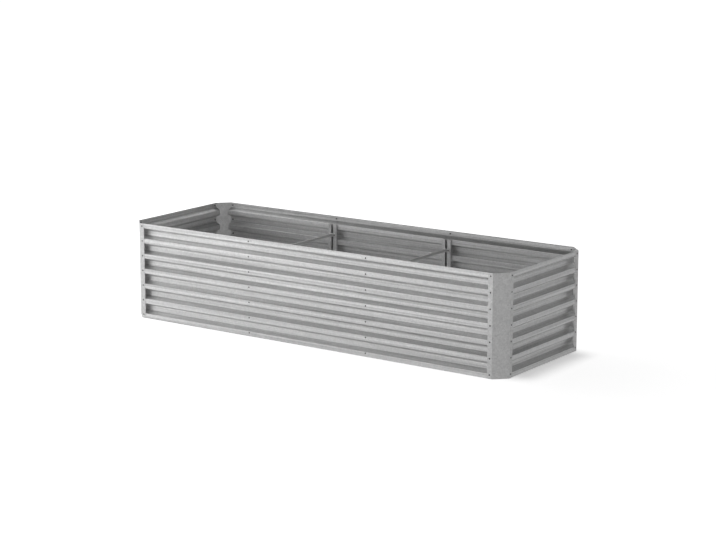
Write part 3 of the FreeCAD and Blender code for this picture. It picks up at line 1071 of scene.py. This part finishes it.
class GARDENBED_OT_fasteners(bpy.types.Operator):
    """Set every bolt and nut where the construction model has it"""
    bl_idname = "gardenbed.fasteners"
    bl_label = "Bolts and Nuts"

    def execute(self, context):
        sizes = context.scene.garden_bed_fasteners
        bolt_parts = {
            "Head": new_object("bolt_head", head_mesh(sizes)),
            "Shank": new_object("bolt_shank", shank_mesh(sizes)),
            "Tip": new_object("bolt_tip", tip_mesh(sizes)),
        }
        for node in nodes_ending("_bolts"):
            seats = []
            for low, high in solid_boxes(node):
                facing, middle, span = self.measured(node, low, high)
                top = middle + facing * span / 2
                seats.append((top - facing * sizes.head_height, facing, span - sizes.head_height))
            set_on_points(node, seats, bolt_parts, "bolt_steel")
        for node in nodes_ending("_nuts"):
            seats = []
            for low, high in solid_boxes(node):
                facing, middle, nut_height = self.measured(node, low, high)
                seats.append((middle + facing * nut_height / 2, facing, 0.0))
            nut = new_object("nut", nut_mesh(sizes, nut_height))
            set_on_points(node, seats, {"Head": nut}, "nut_steel")
            bpy.data.objects.remove(nut)
        for part in bolt_parts.values():
            bpy.data.objects.remove(part)
        return {"FINISHED"}

    def measured(self, node, low, high):
        """The way a fastener's head faces, its middle, and its length that way."""
        middle = (low + high) / 2
        facing = outward(middle)
        if "brace" in node:
            facing.negate()
        span = abs((high - low).dot(facing))
        return facing, middle, span


# ---------------------------------------------------------------- stage

def floor_finish(colour, lift, painted_shadow_lift, mirror_lift):
    """Material: a matt pale floor that fades to white away from the bed, shadows apart; a shadow is
    painted by the ends.
    """
    fade_start = half_length + 0.4
    fade_end = half_length * 3
    painted_shadow_reach = 0.2
    material = bpy.data.materials.new("floor")
    material.cycles.emission_sampling = "NONE"
    wiring = empty_wiring(material)
    place = wiring.add("ShaderNodeTexCoord").outputs["Object"]
    distance = wiring.add("ShaderNodeVectorMath", {0: place}, operation="LENGTH")
    brightness = wiring.ranged(distance.outputs["Value"], fade_start, fade_end, lift, 1.0)

    # painted shadow: the floor is darkest along the feet of the two ends
    x, y, z = wiring.parts(place)
    from_end = wiring.math("ABSOLUTE", wiring.math("SUBTRACT", wiring.math("ABSOLUTE", x), half_length))
    near_end = wiring.ranged(from_end, 0.0, painted_shadow_reach, 1.0, 0.0)
    beside_end = wiring.ranged(wiring.math("ABSOLUTE", y), half_width - painted_shadow_reach, half_width, 1.0, 0.0)
    # how much the painted shadow takes off the floor's brightness
    foot = wiring.math("MULTIPLY", wiring.math("MULTIPLY", near_end, beside_end), lift - painted_shadow_lift)
    brightness = wiring.math("SUBTRACT", brightness, foot)

    ray = wiring.add("ShaderNodeLightPath")
    seen = wiring.math("MULTIPLY", ray.outputs["Is Camera Ray"], brightness)
    mirrored = wiring.math("MAXIMUM", ray.outputs["Is Glossy Ray"], ray.outputs["Is Transmission Ray"])
    mirrored = wiring.math("MULTIPLY", mirrored, mirror_lift)
    matt = wiring.add("ShaderNodeBsdfDiffuse", {"Color": (*colour, 1)})
    glow = wiring.add("ShaderNodeEmission", {"Strength": wiring.math("ADD", seen, mirrored)})
    both = wiring.add("ShaderNodeAddShader", {0: matt, 1: glow})
    wiring.add("ShaderNodeOutputMaterial", {"Surface": both})
    return material


def studio_world(zenith, horizon):
    """World: a dim studio above, brighter towards eye level, and white where the camera sees it."""
    full_height = 0.5
    world = bpy.data.worlds.new("studio")
    bpy.context.scene.world = world
    wiring = empty_wiring(world)
    way = wiring.add("ShaderNodeTexCoord").outputs["Generated"]
    x, y, z = wiring.parts(way)
    level = wiring.ranged(wiring.math("ABSOLUTE", z), 0.0, full_height, horizon, zenith)
    studio, white = [
        wiring.add("ShaderNodeBackground", {"Color": (1, 1, 1, 1), "Strength": strength})
        for strength in (level, 1.0)]
    ray = wiring.add("ShaderNodeLightPath")
    both = wiring.add("ShaderNodeMixShader", {0: ray.outputs["Is Camera Ray"], 1: studio, 2: white})
    wiring.add("ShaderNodeOutputWorld", {"Surface": both})


# each lamp's azimuth and elevation in degrees, and its distance, width and height in metres
lamps = {
    "key": (-27, 8, 5.2, 4.0, 1.6),
    "side": (45, 17, 5.0, 5.0, 1.5),
    "left": (-90, 20, 5.0, 4.0, 2.0),
    "high": (-50, 45, 5.0, 3.0, 3.0),
    "back": (-140, 32, 5.0, 5.0, 3.0),
}


def soft_lamp(name, power):
    """A rectangular lamp that looks at the bed, placed by angles seen from its middle."""
    azimuth, elevation, distance, width, height = lamps[name]
    lamp = bpy.data.lights.new(name, "AREA")
    lamp.shape = "RECTANGLE"
    lamp.size = width
    lamp.size_y = height
    lamp.energy = power
    target_height = half_width * 0.6
    target = Vector((0, 0, target_height))
    turn = math.radians(azimuth)
    rise = math.radians(elevation)
    way = Vector((math.sin(turn) * math.cos(rise), -math.cos(turn) * math.cos(rise), math.sin(rise)))
    holder = new_object(name, lamp)
    holder.location = target + way * distance
    holder.rotation_euler = (-way).to_track_quat("-Z", "Y").to_euler()
    holder.visible_camera = False


class GARDENBED_OT_stage(bpy.types.Operator):
    """Lay the floor, and set the lamps, the world and the camera"""
    bl_idname = "gardenbed.stage"
    bl_label = "Floor, Lamps and Camera"

    def execute(self, context):
        stage = context.scene.garden_bed_stage
        half = stage.floor_size / 2
        mesh = bpy.data.meshes.new("floor")
        mesh.from_pydata([(-half, -half, 0), (half, -half, 0), (half, half, 0), (-half, half, 0)],
                         [], [(0, 1, 2, 3)])
        floor = new_object("floor", mesh)
        mesh.materials.append(floor_finish(stage.floor_colour, stage.floor_lift, stage.painted_shadow_lift,
                                           stage.mirror_lift))

        studio_world(stage.zenith, stage.horizon)
        for name in lamps:
            soft_lamp(name, getattr(stage, f"{name}_strength"))

        camera = bpy.data.cameras.new("camera")
        camera.sensor_width = 36
        camera.lens = stage.lens
        camera.clip_end = stage.floor_size
        holder = new_object("camera", camera)
        holder.location = stage.camera_place
        holder.rotation_euler = (math.pi / 2 - stage.camera_tilt, 0, stage.camera_turn)
        context.scene.camera = holder
        context.scene.view_settings.view_transform = "Standard"
        return {"FINISHED"}


# ---------------------------------------------------------------- add-on

class GARDENBED_PT_sidebar(bpy.types.Panel):
    """Steps that finish the garden bed"""
    bl_idname = "GARDENBED_PT_sidebar"
    bl_label = "Garden Bed"
    bl_space_type = "VIEW_3D"
    bl_region_type = "UI"
    bl_category = "Garden Bed"

    def draw(self, context):
        for step in steps:
            self.layout.operator(step.bl_idname)
        for settings in property_groups:
            group = getattr(context.scene, settings)
            box = self.layout.box()
            for name in group.bl_rna.properties.keys():
                if name not in ("rna_type", "name"):
                    box.prop(group, name)


property_groups = {
    "garden_bed_sheets": GardenBedSheets,
    "garden_bed_posts": GardenBedPosts,
    "garden_bed_braces": GardenBedBraces,
    "garden_bed_fasteners": GardenBedFasteners,
    "garden_bed_finish": GardenBedFinish,
    "garden_bed_stage": GardenBedStage,
}

steps = (
    GARDENBED_OT_panels,
    GARDENBED_OT_corner_posts,
    GARDENBED_OT_joint_posts,
    GARDENBED_OT_braces,
    GARDENBED_OT_fasteners,
    GARDENBED_OT_stage,
)


def register():
    """Register the settings, the steps and the sidebar."""
    for name, group in property_groups.items():
        bpy.utils.register_class(group)
        setattr(bpy.types.Scene, name, PointerProperty(type=group))
    for step in (*steps, GARDENBED_PT_sidebar):
        bpy.utils.register_class(step)


def unregister():
    """Take the sidebar, the steps and the settings away again."""
    for step in (GARDENBED_PT_sidebar, *reversed(steps)):
        bpy.utils.unregister_class(step)
    for name, group in property_groups.items():
        delattr(bpy.types.Scene, name)
        bpy.utils.unregister_class(group)


def main():
    """Make every piece and the stage."""
    register()
    bpy.ops.gardenbed.panels()
    bpy.ops.gardenbed.corner_posts()
    bpy.ops.gardenbed.joint_posts()
    bpy.ops.gardenbed.braces()
    bpy.ops.gardenbed.fasteners()
    bpy.ops.gardenbed.stage()


if __name__ == "__main__":
    main()
